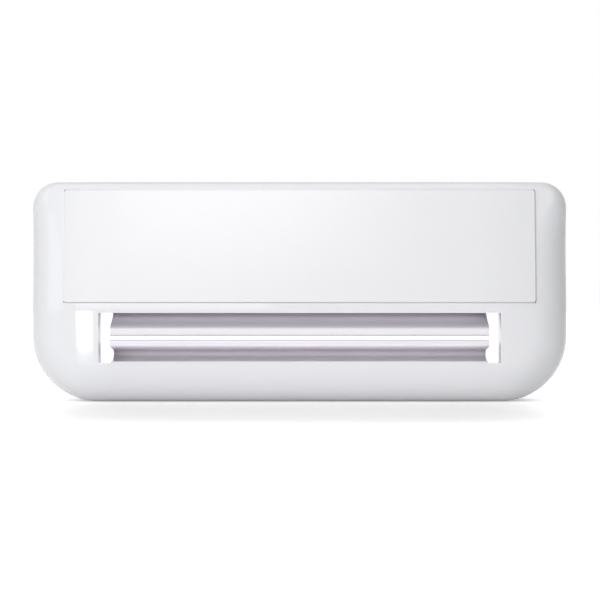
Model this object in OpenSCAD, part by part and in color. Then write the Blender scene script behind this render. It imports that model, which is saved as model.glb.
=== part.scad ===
// Hand-held tube squeezer for the bath. The flat end of a toothpaste tube goes in at the rear mouth,
// between two sprung jaws as wide as the window, and comes out at the front. Pushed along the tube,
// the jaws press the paste forward, and they bite when the tube is pulled back.
// X runs across the width, the front faces -Y, and it stands on its flat bottom edge at Z = 0.

/* [Body] */
// Width over the two sides
body_w = 92; // [84:0.5:104]
// Height, standing on the bottom edge
body_h = 37.6; // [37:0.2:46]
// Depth, from the front plane to the rear face
body_d = 24; // [23.5:0.5:30]
// Wall of both covers
wall = 2; // [1.6:0.1:2.2]
// Radius of the two upper corners, seen from the front
top_corner_r = 4.5; // [3:0.5:7]
// Radius of the two lower corners, seen from the front
bottom_corner_r = 11.2; // [8:0.2:12]
// Rounding of the left and right edges of the front
side_edge_r = 6.2; // [4:0.2:7]
// Rounding of the bottom edge of the front
bottom_edge_r = 6.5; // [4:0.5:6.5]
// Rounding of the top edge of the front
top_edge_r = 1.4; // [0.8:0.2:2.4]
// Rounding of the edges of the rear face
rear_edge_r = 2.4; // [1:0.2:2.6]
// Distance from the sides at which the slight crown of the front starts
crown_side = 16; // [12:1:26]
// Radius of that crown, outside the flat middle
crown_r = 60; // [40:5:120]
// Height at which the front starts to lean back
crease_z = 15.5; // [15.4:0.1:17]
// Lean of the upper front, in degrees
lean = 7; // [3:0.5:9]
// Depth of the front cover, from the front plane to the parting line
front_cover_d = 18; // [17.5:0.5:19]

/* [Window] */
// Distance of the window from each side of the body
window_side = 12; // [11:0.1:13]
// Height of the window
window_h = 8.5; // [8.4:0.05:8.65]
// Height of the window sill above the bottom
sill_z = 6.7; // [6.6:0.05:6.75]

/* [Imprint plate] */
// Distance of the plate from each side of the body
plate_side = 5.8; // [5.2:0.1:14]
// Height of the plate along the leaning front
plate_h = 19.4; // [12:0.1:19.6]
// Distance from the crease to the plate's lower edge
plate_rise = 1.5; // [1:0.1:2]
// How far the plate stands out of the front
plate_proud = 0.55; // [0.3:0.05:0.9]
// Depth of the pocket that holds the plate
pocket_depth = 0.7; // [0.4:0.05:0.9]
// Gap around the plate in its pocket
plate_gap = 0.08; // [0.05:0.01:0.15]
// Diameter of the four pegs on the plate's back
peg_d = 2; // [1.6:0.1:2.4]
// Length of the pegs behind the plate
peg_len = 2.6; // [2:0.1:3.4]
// Distance of the pegs from the plate's ends
peg_inset_x = 9; // [7:0.5:14]
// Distance of the pegs from the plate's long edges
peg_inset_z = 3.6; // [3:0.1:5]

/* [Jaws] */
// Gap between the jaws' ends and the window's ends
jaw_end_gap = 1.7; // [1.5:0.1:3]
// Gap between the closed jaws
nip_gap = 0.6; // [0.4:0.05:0.9]
// Distance of the jaw noses behind the front plane
nose_setback = 0.5; // [0.3:0.05:0.8]
// Distance from the nose plane back to the hinge axes
pivot_back = 11.2; // [11:0.1:11.5]
// Distance from the nip to each hinge axis
pivot_rise = 6.4; // [6.35:0.05:6.45]
// Diameter of the hinge barrels
barrel_d = 4.2; // [4:0.1:4.4]
// Width of the stop heels at the jaw ends
heel_w = 3.5; // [2.5:0.1:5]
// Thickness of the stop heels
heel_t = 1.5; // [1.2:0.1:1.7]

/* [Pins and springs] */
// Diameter of the hinge pins
pin_d = 2; // [1.8:0.1:2.2]
// How far the pins stand out of the frame's cheeks
pin_end = 1.3; // [0.4:0.1:1.4]
// Radial clearance of a jaw on its pin
pin_run = 0.05; // [0.02:0.01:0.08]
// Radial clearance of a pin in the frame
pin_seat = 0.03; // [0.01:0.01:0.05]
// Wire of the torsion springs
wire_d = 0.5; // [0.4:0.05:0.6]
// Outer diameter of the spring coils
coil_d = 3.5; // [3.4:0.05:3.7]
// Turns of each coil
coil_turns = 3; // [2:1:4]
// Gap between a jaw's end and its coil
coil_gap = 0.4; // [0.3:0.05:0.6]
// Distance of the spring's hooked end from the hinge axis
hook_reach = 3.2; // [2.9:0.1:3.6]
// Length of the hook inside the heel
hook_len = 1.1; // [0.8:0.1:1.6]
// Angle of the spring's fixed leg above the level, away from the nip
leg_angle = 17; // [14:1:18]

/* [Jaw frame] */
// Thickness of the frame's flange
flange_t = 2; // [1.6:0.1:2.4]
// Thickness of the two cheeks that hold the pins
cheek_t = 2; // [1.6:0.1:2.1]
// Height of the frame's top edge
frame_top = 21.6; // [20.8:0.1:24]
// How far the cheeks reach in front of the hinge axes
cheek_reach = 2.8; // [2:0.1:3.4]
// Gap between the flange and the covers around it
key_gap = 0.15; // [0.1:0.05:0.25]
// Gap between a heel and its stop, with the jaws closed
stop_gap = 0.05; // [0.03:0.01:0.1]

/* [Rear mouth] */
// How much wider the passage behind the jaws is than the window, on each side
passage_side = 1.75; // [1.5:0.05:1.9]
// Height of the passage behind the jaws
passage_h = 11; // [10:0.1:11.2]
// How far the mouth flares out on each side at the rear face
mouth_flare = 1.2; // [0:0.1:1.4]
// Wall of the duct between the mouth and the frame
duct_wall = 1.2; // [0.8:0.1:1.3]

/* [Screws] */
// Diameter of the screw threads
screw_d = 2.2; // [2:0.1:2.4]
// Length of the screws under the head
screw_len = 9; // [8:0.5:11]
// Diameter of the screw heads
head_d = 4.2; // [3.6:0.1:4.2]
// Height of the screw heads
head_h = 1.6; // [1.2:0.1:1.7]
// Depth of the heads below the rear face
head_sink = 0.2; // [0.1:0.05:0.3]
// Diameter of the bosses and posts around the screws
boss_d = 4.8; // [4.4:0.1:5]
// Distance of the screws from the sides
screw_inset_x = 5.2; // [5:0.1:5.4]
// Height of the two lower screws
low_screw_z = 9; // [8.8:0.1:12]
// Distance of the two upper screws from the top
high_screw_drop = 6.6; // [6:0.1:9]
// Radial clearance of a screw in the posts and the flange
screw_clear = 0.15; // [0.1:0.05:0.2]
// Radial clearance of a screw in its boss, for the thread that isn't drawn
screw_bite = 0.03; // [0.01:0.01:0.05]

/* [Hidden] */
$fn = 64;

white = [0.95, 0.95, 0.97];
frame_grey = [0.86, 0.87, 0.89];
steel = [0.66, 0.67, 0.69];

// Widths that follow the body's
half_body = body_w / 2;
crown_flat = half_body - crown_side;
plate_w = body_w - 2 * plate_side;
window_w = body_w - 2 * window_side;
jaw_w = window_w - 2 * jaw_end_gap;
passage_w = window_w + 2 * passage_side;
pin_len = passage_w + 2 * (cheek_t + pin_end);

// Planes across the depth
front_y = -body_d / 2;
rear_y = body_d / 2;
parting_y = front_y + front_cover_d;
flange_front_y = parting_y - flange_t / 2;
flange_rear_y = parting_y + flange_t / 2;

// Arc that joins the crown to the side, tangent to both
side_arc_x = half_body - side_edge_r;
side_arc_y = front_y + crown_r
    - sqrt(pow(crown_r - side_edge_r, 2) - pow(side_arc_x - crown_flat, 2));

// Jaws, pins and springs
nip_z = sill_z + window_h / 2;
nose_y = front_y + nose_setback;
pivot_y = nose_y + pivot_back;
pin_r = pin_d / 2;
barrel_r = barrel_d / 2;
nose_v = nip_gap / 2;
heel_end_gap = 0.4;
heel_reach = flange_front_y - heel_end_gap - pivot_y;
coil_mean_r = (coil_d - wire_d) / 2;
coil_len = coil_turns * wire_d;
coil_x = jaw_w / 2 + coil_gap;
hook_x = coil_x + wire_d / 2;
leg_x = coil_x + coil_len - wire_d / 2;
leg_grip = 0.8;
leg_len = (flange_front_y + leg_grip - pivot_y) / cos(leg_angle);
wire_clear = 0.15;

// Screws: each place is [x, z, y where the boss ends, y where the post starts]
screw_x = half_body - screw_inset_x;
post_gap = 0.1;
head_y = rear_y - head_sink - head_h;
cover_screw_places = [
    for (side = [-1, 1]) [side * screw_x, low_screw_z, flange_front_y, flange_rear_y],
    for (side = [-1, 1])
        [side * screw_x, body_h - high_screw_drop, parting_y - post_gap / 2, parting_y + post_gap / 2]
];

// A length that passes through anything in the body
through = 3 * body_d;
curve_steps = 10;
edge_runs = 4;
least_inner_r = 0.3;

// Plane figures and their directions

function inner_r(r, inset) = max(least_inner_r, r - inset);

function bezier(a, b, c, d) = [
    for (i = [0 : curve_steps])
        let (t = i / curve_steps, s = 1 - t)
        s * s * s * a + 3 * s * s * t * b + 3 * s * t * t * c + t * t * t * d
];

// Stands a figure drawn in Y and Z across the width
module across(width) {
    rotate([90, 0, 90]) linear_extrude(width, center = true) children();
}

// Runs a figure drawn in X and Z from one depth to another
module through_depth(y0, y1) {
    translate([0, y1, 0]) rotate([90, 0, 0]) linear_extrude(y1 - y0) children();
}

// Tips upright things back about the crease, as the upper front leans
module leaned() {
    translate([0, front_y, crease_z]) rotate([-lean, 0, 0]) translate([0, -front_y, 0]) children();
}

// Front outline, in X and Z
module outline_figure(inset) {
    half_w = half_body - inset;
    top = body_h - inset;
    top_r = inner_r(top_corner_r, inset);
    low_r = inner_r(bottom_corner_r, inset);
    for (side = [-1, 1]) {
        translate([side * (half_w - low_r), inset + low_r]) circle(low_r);
        translate([side * (half_w - top_r), top - top_r]) circle(top_r);
    }
    polygon([
        [low_r - half_w, inset], [half_w - low_r, inset],
        [half_w, inset + low_r], [half_w, top - top_r],
        [half_w - top_r, top], [top_r - half_w, top],
        [-half_w, top - top_r], [-half_w, inset + low_r]
    ]);
}

// Side profile, in Y and Z: round bottom front edge, leaning upper front, round rear edges.
// The top front edge is round only where its radius is more than the inset.
module side_figure(inset) {
    front = front_y + inset;
    rear = rear_y - inset;
    top = body_h - inset;
    low_r = inner_r(bottom_edge_r, inset);
    rear_r = inner_r(rear_edge_r, inset);
    bend = [front, crease_z - inset * tan(lean / 2)];
    low_rear_points = [
        bend, [front, inset + low_r], [front + low_r, inset], [rear - rear_r, inset],
        [rear, inset + rear_r], [rear, top - rear_r], [rear - rear_r, top]
    ];
    translate([front + low_r, inset + low_r]) circle(low_r);
    translate([rear - rear_r, inset + rear_r]) circle(rear_r);
    translate([rear - rear_r, top - rear_r]) circle(rear_r);
    if (top_edge_r > inset) {
        top_r = top_edge_r - inset;
        top_centre = [front + (top - top_r - bend.y) * tan(lean) + top_r / cos(lean), top - top_r];
        translate(top_centre) circle(top_r);
        polygon(concat(
            low_rear_points, [[top_centre.x, top], top_centre + top_r * [-cos(lean), sin(lean)]]
        ));
    } else {
        polygon(concat(low_rear_points, [[front + (top - bend.y) * tan(lean), top]]));
    }
}

// Crown of the front, in X and Y: flat in the middle, slightly round outside it
module crown_figure(inset) {
    for (side = [-1, 1])
        translate([side * crown_flat, front_y + crown_r]) circle(crown_r - inset, $fn = 180);
    translate([-crown_flat, front_y + inset]) square([2 * crown_flat, through]);
}

// Place where the crown meets the round side edge
function side_join(inset) =
    let (share = (crown_r - inset) / (crown_r - side_edge_r))
    [crown_flat + share * (side_arc_x - crown_flat), front_y + crown_r + share * (side_arc_y - front_y - crown_r)];

// Round left and right front edges, in X and Y
module side_edge_figure(inset) {
    half_w = half_body - inset;
    join = side_join(inset);
    for (side = [-1, 1]) translate([side * side_arc_x, side_arc_y]) circle(side_edge_r - inset);
    translate([-join.x, front_y]) square([2 * join.x, through]);
    translate([-half_w, side_arc_y]) square([2 * half_w, through]);
}

module plan_figure(inset) {
    intersection() {
        crown_figure(inset);
        side_edge_figure(inset);
    }
}

// The same for the hollow, in short straight runs. The first one follows the crown, and runs on
// ahead of the flat middle, which the side profile bounds there.
module hollow_plan_figure() {
    join = side_join(wall);
    flat = [crown_flat, front_y + wall];
    start = flat - (join - flat) * wall / (4 * (join.y - flat.y));
    turn = atan2(join.y - side_arc_y, join.x - side_arc_x);
    right = concat([start], [
        for (i = [0 : edge_runs])
            let (a = turn * (1 - i / edge_runs))
            [side_arc_x, side_arc_y] + (side_edge_r - wall) * [cos(a), sin(a)]
    ]);
    left = [for (i = [len(right) - 1 : -1 : 0]) [-right[i].x, right[i].y]];
    half_w = half_body - wall;
    polygon(concat(right, [[half_w, through], [-half_w, through]], left));
}

// Round left and right edges of the rear face, in X and Y
module rear_figure(inset) {
    half_w = half_body - inset;
    rear = rear_y - inset;
    edge_r = inner_r(rear_edge_r, inset);
    for (side = [-1, 1]) translate([side * (half_w - edge_r), rear - edge_r]) circle(edge_r);
    translate([edge_r - half_w, -through]) square([2 * (half_w - edge_r), through + rear]);
    translate([-half_w, -through]) square([2 * half_w, through + rear - edge_r]);
}

// Whole outer form of the body, or a form that lies the inset inside it
module body_form(inset) {
    intersection() {
        through_depth(front_y, rear_y) outline_figure(inset);
        across(body_w) side_figure(inset);
        linear_extrude(body_h) plan_figure(inset);
        linear_extrude(body_h) rear_figure(inset);
        leaned() linear_extrude(through, center = true) plan_figure(inset);
    }
}

// Hollow inside the walls
module hollow_form() {
    intersection() {
        through_depth(front_y, rear_y) outline_figure(wall);
        across(body_w) side_figure(wall);
        linear_extrude(body_h) hollow_plan_figure();
        linear_extrude(body_h) rear_figure(wall);
        leaned() linear_extrude(through, center = true) hollow_plan_figure();
    }
}

// All that lies between two depths
module depth_slice(y0, y1) {
    translate([-body_w, y0, -body_h]) cube([2 * body_w, y1 - y0, 3 * body_h]);
}

// Covers and plate

module plate_blank(gap) {
    translate([-plate_w / 2 - gap, front_y - wall, plate_rise - gap])
        cube([plate_w + 2 * gap, 2 * wall + crown_r - sqrt(pow(crown_r, 2) - pow(plate_w / 2 - crown_flat, 2)),
              plate_h + 2 * gap]);
}

// Outer face and back of the plate, both along the crown of the leaning front
module plate_form(gap, proud) {
    leaned() difference() {
        intersection() {
            plate_blank(gap);
            linear_extrude(through, center = true) crown_figure(-proud);
        }
        linear_extrude(through, center = true) crown_figure(pocket_depth - (gap > 0 ? 0 : plate_gap));
    }
}

module plate_pegs(r, y0, len) {
    leaned()
        for (x = [-1, 1] * (plate_w / 2 - peg_inset_x))
            for (z = [plate_rise + peg_inset_z, plate_rise + plate_h - peg_inset_z])
                translate([x, y0, z]) rotate([-90, 0, 0]) cylinder(r = r, h = len);
}

module screw_bosses() {
    for (place = cover_screw_places)
        translate([place.x, front_y, place.y])
            rotate([-90, 0, 0]) cylinder(d = boss_d, h = place[2] - front_y);
}

// Ribs on the side walls that keep the upper pin in place and back the flange
module pin_stop_ribs() {
    rib_x = pin_len / 2 + key_gap;
    rib_h = pin_d + 0.8;
    rib_front_y = pivot_y - pin_r - 0.6;
    for (side = [0, 1]) mirror([side, 0, 0])
        translate([rib_x, rib_front_y, nip_z + pivot_rise - rib_h / 2])
            cube([half_body - rib_x, flange_front_y - rib_front_y, rib_h]);
}

module front_cover() {
    inner_skin = wall / 2;
    color(white) difference() {
        union() {
            difference() {
                intersection() {
                    body_form(0);
                    depth_slice(front_y - wall, parting_y);
                }
                hollow_form();
            }
            intersection() {
                body_form(inner_skin);
                union() {
                    screw_bosses();
                    pin_stop_ribs();
                }
            }
        }
        translate([-window_w / 2, front_y - wall, sill_z]) cube([window_w, 3 * wall, window_h]);
        plate_form(plate_gap, wall);
        plate_pegs(peg_d / 2 + plate_gap, front_y, 2 * wall);
        for (place = cover_screw_places)
            translate([place.x, head_y - screw_len - post_gap, place.y])
                rotate([-90, 0, 0]) cylinder(r = screw_d / 2 + screw_bite, h = screw_len);
    }
}

module imprint_plate() {
    color(white) union() {
        plate_form(0, plate_proud);
        plate_pegs(peg_d / 2, front_y + pocket_depth / 2, pocket_depth / 2 + peg_len);
    }
}

// Passage for the tube: straight at the frame, flared towards the rear face
module mouth_void() {
    half_w = passage_w / 2;
    half_h = passage_h / 2;
    flare = mouth_flare * (1 + wall / (rear_y - flange_rear_y));
    y0 = flange_rear_y;
    y1 = rear_y + wall;
    intersection() {
        across(body_w) polygon([
            [y0 - wall, nip_z - half_h], [y0, nip_z - half_h], [y1, nip_z - half_h - flare],
            [y1, nip_z + half_h + flare], [y0, nip_z + half_h], [y0 - wall, nip_z + half_h]
        ]);
        linear_extrude(body_h) polygon([
            [-half_w, y0 - wall], [half_w, y0 - wall], [half_w, y0], [half_w + flare, y1],
            [-half_w - flare, y1], [-half_w, y0]
        ]);
    }
}

module duct_block() {
    half_w = passage_w / 2 + mouth_flare + duct_wall;
    half_h = passage_h / 2 + mouth_flare + duct_wall;
    translate([-half_w, flange_rear_y, nip_z - half_h])
        cube([2 * half_w, rear_y - wall / 2 - flange_rear_y, 2 * half_h]);
}

module rear_cover() {
    color(white) difference() {
        union() {
            difference() {
                intersection() {
                    body_form(0);
                    depth_slice(parting_y, rear_y + wall);
                }
                hollow_form();
            }
            intersection() {
                body_form(wall / 2);
                union() {
                    duct_block();
                    for (place = cover_screw_places)
                        translate([place.x, place[3], place.y])
                            rotate([-90, 0, 0]) cylinder(d = boss_d, h = rear_y - place[3]);
                }
            }
        }
        mouth_void();
        for (place = cover_screw_places)
            translate([place.x, parting_y - wall, place.y]) rotate([-90, 0, 0]) {
                cylinder(r = screw_d / 2 + screw_clear, h = rear_y);
                translate([0, 0, head_y - parting_y + wall]) cylinder(r = head_d / 2 + screw_clear, h = rear_y);
            }
    }
}

// Jaws. Their profiles are drawn as [distance behind the nose, distance from the nip],
// and the lower one is drawn downwards.

nose_r = 0.45;

function nose_curve() = bezier(
    [3 * nose_r, nose_v], [nose_r, nose_v], [0, nose_v], [0, nose_v + 1.2 * nose_r]
);

// Plain S: a tall nose, then a slope back and up to the hinge barrel
upper_profile = concat(
    nose_curve(),
    bezier([0, 1.45], [0, 2.2], [0.53 * pivot_back, 2.6], [pivot_back - 1.6, pivot_rise - 2]),
    [[pivot_back - 1.3, pivot_rise - 1]],
    bezier(
        [pivot_back + 1, pivot_rise - 1.7], [0.72 * pivot_back, 1.6], [0.36 * pivot_back, nose_v],
        [4 * nose_r, nose_v]
    )
);

// Short nose, a trough behind it, and an apron that comes forward again to the window sill
trough = [pivot_back - 1.6, 2.3];
apron_root = [pivot_back - 1.9, 3.5];
apron_end = 2.9;
apron_v = window_h / 2 - 0.17;
apron_t = 1;
lower_profile = concat(
    nose_curve(),
    bezier([0, 1.05], [0, 1.75], [0.53 * pivot_back, 1.9], trough),
    bezier(trough, trough + [1.3, 0.15], apron_root + [1.6, -0.2], apron_root),
    bezier(apron_root, [0.62 * pivot_back, 3.85], [0.45 * pivot_back, apron_v - 0.05], [apron_end, apron_v]),
    [[apron_end, apron_v + apron_t], [pivot_back - 2.7, apron_v + apron_t], [pivot_back - 1, pivot_rise - 0.8]],
    [[pivot_back + 1.3, pivot_rise - 1.2]],
    bezier(
        [pivot_back + 1.5, 4.4], [pivot_back + 1.8, 2.6], [pivot_back + 1.4, 1.5],
        [pivot_back, 1.35]
    ),
    bezier([pivot_back - 0.6, 1.28], [0.7 * pivot_back, 0.9], [0.36 * pivot_back, nose_v], [4 * nose_r, nose_v])
);

// Jaw whose hinge axis lies at [pivot_back, pivot_rise], before it is put in its place
module jaw_blank(profile) {
    difference() {
        union() {
            across(jaw_w) union() {
                polygon(profile);
                translate([pivot_back, pivot_rise]) circle(barrel_r);
            }
            for (side = [0, 1]) mirror([side, 0, 0])
                translate([jaw_w / 2 - heel_w, pivot_back, pivot_rise - heel_t / 2])
                    cube([heel_w, heel_reach, heel_t]);
        }
        translate([0, pivot_back, pivot_rise]) rotate([0, 90, 0])
            cylinder(r = pin_r + pin_run, h = body_w, center = true);
        for (side = [0, 1]) mirror([side, 0, 0])
            translate([jaw_w / 2 - hook_len - wire_clear, pivot_back + hook_reach, pivot_rise])
                rotate([0, 90, 0]) cylinder(r = wire_d / 2 + wire_clear, h = heel_w);
    }
}

// Puts what is drawn from nose and nip in its place, above the nip or below it
module above_nip() {
    translate([0, nose_y, nip_z]) children();
}

module below_nip() {
    translate([0, nose_y, nip_z]) mirror([0, 0, 1]) children();
}

module upper_jaw() {
    color(white) above_nip() jaw_blank(upper_profile);
}

module lower_jaw() {
    color(white) below_nip() jaw_blank(lower_profile);
}

// Frame, pins and springs

module spring_leg_line(r, len) {
    translate([leg_x, pivot_back, pivot_rise]) rotate([leg_angle - 90, 0, 0]) cylinder(r = r, h = len);
}

// Front view of all that the frame may fill
module frame_figure() {
    intersection() {
        outline_figure(wall + key_gap);
        translate([-body_w, 0]) square([2 * body_w, frame_top]);
    }
}

module frame_flange() {
    through_depth(flange_front_y, flange_rear_y) difference() {
        frame_figure();
        translate([-passage_w / 2, nip_z - passage_h / 2]) square([passage_w, passage_h]);
    }
}

// The two plates that reach forward beside the jaws
module frame_cheeks() {
    through_depth(pivot_y - cheek_reach, flange_rear_y) intersection() {
        frame_figure();
        for (side = [0, 1]) mirror([side, 0]) translate([passage_w / 2, 0]) square([cheek_t, frame_top]);
    }
}

module jaw_frame() {
    color(frame_grey) difference() {
        union() {
            frame_flange();
            frame_cheeks();
            for (side = [0, 1]) mirror([side, 0, 0]) {
                above_nip() stop_ledge();
                below_nip() stop_ledge();
            }
        }
        for (z = [nip_z - pivot_rise, nip_z + pivot_rise])
            translate([0, pivot_y, z]) rotate([0, 90, 0])
                cylinder(r = pin_r + pin_seat, h = 2 * body_w, center = true);
        for (side = [0, 1]) mirror([side, 0, 0]) {
            above_nip() spring_leg_line(wire_d / 2 + wire_clear, leg_len + wire_clear);
            below_nip() spring_leg_line(wire_d / 2 + wire_clear, leg_len + wire_clear);
        }
        for (place = cover_screw_places)
            translate([place.x, parting_y, place.y]) rotate([90, 0, 0])
                cylinder(r = screw_d / 2 + screw_clear, h = 2 * flange_t, center = true);
    }
}

// Ledge that a heel rests against when its jaw is closed
module stop_ledge() {
    stop_h = 1.5;
    stop_reach = 2.6;
    translate([jaw_w / 2 - heel_w, flange_front_y - nose_y - stop_reach, pivot_rise + heel_t / 2 + stop_gap])
        cube([heel_w, stop_reach + flange_t / 2, stop_h]);
}

module hinge_pin() {
    color(steel) translate([0, pivot_back, pivot_rise]) rotate([0, 90, 0])
        cylinder(r = pin_r, h = pin_len, center = true);
}

module upper_hinge_pin() {
    above_nip() hinge_pin();
}

module lower_hinge_pin() {
    below_nip() hinge_pin();
}

// Right-hand torsion spring: closed turns round the pin, a leg in the frame and a hook in the heel
module torsion_spring() {
    color(steel) union() {
        translate([coil_x, pivot_back, pivot_rise]) rotate([0, 90, 0]) difference() {
            cylinder(d = coil_d, h = coil_len);
            translate([0, 0, -wire_d]) cylinder(d = coil_d - 2 * wire_d, h = coil_len + 2 * wire_d);
        }
        difference() {
            union() {
                spring_leg_line(wire_d / 2, leg_len);
                translate([hook_x, pivot_back, pivot_rise]) rotate([-90, 0, 0])
                    cylinder(d = wire_d, h = hook_reach + wire_d / 2);
            }
            translate([0, pivot_back, pivot_rise]) rotate([0, 90, 0])
                cylinder(r = coil_mean_r, h = body_w, center = true);
        }
        translate([jaw_w / 2 - hook_len, pivot_back + hook_reach, pivot_rise])
            rotate([0, 90, 0]) cylinder(d = wire_d, h = hook_x - jaw_w / 2 + hook_len);
    }
}

module upper_spring_right() {
    above_nip() torsion_spring();
}

module upper_spring_left() {
    mirror([1, 0, 0]) upper_spring_right();
}

module lower_spring_right() {
    below_nip() torsion_spring();
}

module lower_spring_left() {
    mirror([1, 0, 0]) lower_spring_right();
}

// Four screws with a domed, cross-slotted head, driven in from the rear
module cover_screw() {
    dome_r = head_d * 0.75;
    slot_w = 0.55;
    slot_len = 0.6 * head_d;
    slot_depth = 0.55 * head_h;
    difference() {
        union() {
            translate([0, 0, -screw_len]) cylinder(d = screw_d, h = screw_len);
            intersection() {
                cylinder(d = head_d, h = head_h);
                translate([0, 0, head_h - dome_r]) sphere(r = dome_r);
            }
        }
        for (turn = [0, 90]) rotate([0, 0, turn])
            translate([-slot_len / 2, -slot_w / 2, head_h - slot_depth]) cube([slot_len, slot_w, head_h]);
    }
}

module cover_screws() {
    color(steel) for (place = cover_screw_places)
        translate([place.x, head_y, place.y]) rotate([-90, 0, 0]) cover_screw();
}

front_cover();
imprint_plate();
rear_cover();
jaw_frame();
upper_jaw();
lower_jaw();
upper_hinge_pin();
lower_hinge_pin();
upper_spring_left();
upper_spring_right();
lower_spring_left();
lower_spring_right();
cover_screws();
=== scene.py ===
# %% [markdown]
# # Hand-held squeezer for toothpaste tubes
# The object is a low, rounded case of glossy white plastic. A wide window in its lower half shows
# two lips that press the tube, and a smooth plate covers most of its upper half.
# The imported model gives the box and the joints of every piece. This script builds what is seen,
# piece by piece. Its sizes are in millimetres, and MM turns them into metres.

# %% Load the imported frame
import math

import bpy
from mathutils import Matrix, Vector


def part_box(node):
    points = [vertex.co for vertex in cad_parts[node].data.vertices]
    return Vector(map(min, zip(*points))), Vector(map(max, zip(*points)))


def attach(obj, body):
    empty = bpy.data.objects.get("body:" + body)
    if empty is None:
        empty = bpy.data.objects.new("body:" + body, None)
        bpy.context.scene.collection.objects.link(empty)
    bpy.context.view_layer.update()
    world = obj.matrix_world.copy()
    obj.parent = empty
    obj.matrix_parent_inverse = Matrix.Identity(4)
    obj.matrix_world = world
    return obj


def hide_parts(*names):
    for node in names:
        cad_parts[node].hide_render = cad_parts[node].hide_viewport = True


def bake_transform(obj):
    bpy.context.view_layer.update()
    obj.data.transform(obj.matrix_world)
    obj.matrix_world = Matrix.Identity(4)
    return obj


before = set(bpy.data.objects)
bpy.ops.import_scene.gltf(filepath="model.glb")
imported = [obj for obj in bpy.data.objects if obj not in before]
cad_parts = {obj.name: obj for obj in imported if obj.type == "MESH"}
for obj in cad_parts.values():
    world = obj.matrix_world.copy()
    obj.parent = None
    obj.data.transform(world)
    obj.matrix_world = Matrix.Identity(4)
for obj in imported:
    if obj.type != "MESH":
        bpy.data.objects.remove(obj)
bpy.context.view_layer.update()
MM = 0.001

# %% [markdown]
# ## Small helpers
# Edit-mode operators work on what is selected, so each step first says which faces it means, by
# the way they face. The helpers below do that, and they name, link and report the pieces.

# %% Helpers for objects
def select_none():
    """Leaves edit mode with no object selected."""
    if bpy.context.mode != "OBJECT":
        bpy.ops.object.mode_set(mode="OBJECT")
    bpy.ops.object.select_all(action="DESELECT")


def only(piece):
    """Makes the piece the one selected and active object."""
    select_none()
    piece.select_set(True)
    bpy.context.view_layer.objects.active = piece


def link(name, data):
    """Puts a new object with this data in the scene."""
    thing = bpy.data.objects.new(name, data)
    bpy.context.scene.collection.objects.link(thing)
    return thing


def named(name):
    """Names the object that an operator has just added."""
    piece = bpy.context.object
    piece.name = piece.data.name = name
    return piece


def modify(piece, kind, **settings):
    """Adds a modifier with these settings and applies it."""
    only(piece)
    modifier = piece.modifiers.new(kind.lower(), kind)
    for key, value in settings.items():
        setattr(modifier, key, value)
    bpy.ops.object.modifier_apply(modifier=modifier.name)


def settle(piece):
    """Puts the object's own place and size into its mesh."""
    only(piece)
    bpy.ops.object.transform_apply(location=True, rotation=True, scale=True)


def report(piece):
    size = [round(d / MM, 2) for d in piece.dimensions]
    print(piece.name, len(piece.data.polygons), "faces,", size, "mm")


# %% Helpers for faces
FACING = 0.99


def faces_front(normal):
    return normal.y < -FACING


def faces_rear(normal):
    return normal.y > FACING


def faces_side(normal):
    return abs(normal.x) > FACING


def pick_faces(piece, wanted):
    """Goes to edit mode with those faces selected for which wanted(normal) is true."""
    only(piece)
    mesh = piece.data
    for group in (mesh.vertices, mesh.edges, mesh.polygons):
        group.foreach_set("select", [False] * len(group))
    bpy.context.tool_settings.mesh_select_mode = (False, False, True)
    for face in mesh.polygons:
        face.select = wanted(face.normal)
    bpy.ops.object.mode_set(mode="EDIT")


def pick_all(piece):
    pick_faces(piece, lambda normal: True)


def done():
    """Leaves edit mode, which writes the edits into the mesh."""
    bpy.ops.object.mode_set(mode="OBJECT")


def extrude(move=(0, 0, 0)):
    """Extrudes the picked faces and moves them."""
    bpy.ops.mesh.extrude_region_move(TRANSFORM_OT_translate={"value": [c * MM for c in move]})


def cut(piece, normal, distance):
    """Adds an edge loop where the plane with this normal and distance meets the piece."""
    pick_all(piece)
    bpy.ops.mesh.bisect(plane_co=[c * distance * MM for c in normal], plane_no=normal)
    done()


def weld(piece):
    """Merges doubled points and turns all faces outwards."""
    pick_all(piece)
    bpy.ops.mesh.remove_doubles(threshold=0.002 * MM)
    bpy.ops.mesh.normals_make_consistent(inside=False)
    done()


# %% [markdown]
# ## Camera
# The photograph looks straight at the front from about half a metre, so that near and far edges
# differ by only a few pixels. A long lens at that distance gives the same view. The picture is
# square, and 103.4 mm of the case's widest plane fill its side.

# %% Camera
CAMERA_DISTANCE, PICTURE_SIDE, SENSOR = 500.0, 103.4, 36.0
EYE_X, EYE_Z, WIDEST_Y = 0.05, 17.4, -5.0

camera = link("front_camera", bpy.data.cameras.new("front_camera"))
camera.location = Vector((EYE_X, WIDEST_Y - CAMERA_DISTANCE, EYE_Z)) * MM
camera.rotation_euler = (math.radians(90), 0, 0)
camera.data.sensor_width = SENSOR
camera.data.lens = SENSOR * CAMERA_DISTANCE / PICTURE_SIDE
bpy.context.scene.camera = camera
bpy.context.scene.view_settings.view_transform = "Standard"
print("lens", round(camera.data.lens, 1), "mm")

# %% [markdown]
# ## Blocks, rods and rounded edges
# Most moulded parts start as a block, and rods serve as pegs, bosses and drills. A Boolean
# modifier adds or cuts them. Edges that differ in their rounding get a bevel weight each, and one
# Bevel modifier then rounds them together. Last, each piece loses its sharp edges, as in a mould.

# %% Blocks and rods
def block(name, low, high):
    """A cube from one corner to the other."""
    low, high = Vector(low) * MM, Vector(high) * MM
    select_none()
    bpy.ops.mesh.primitive_cube_add(size=1, location=(low + high) / 2, scale=high - low)
    piece = named(name)
    settle(piece)
    return piece


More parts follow.
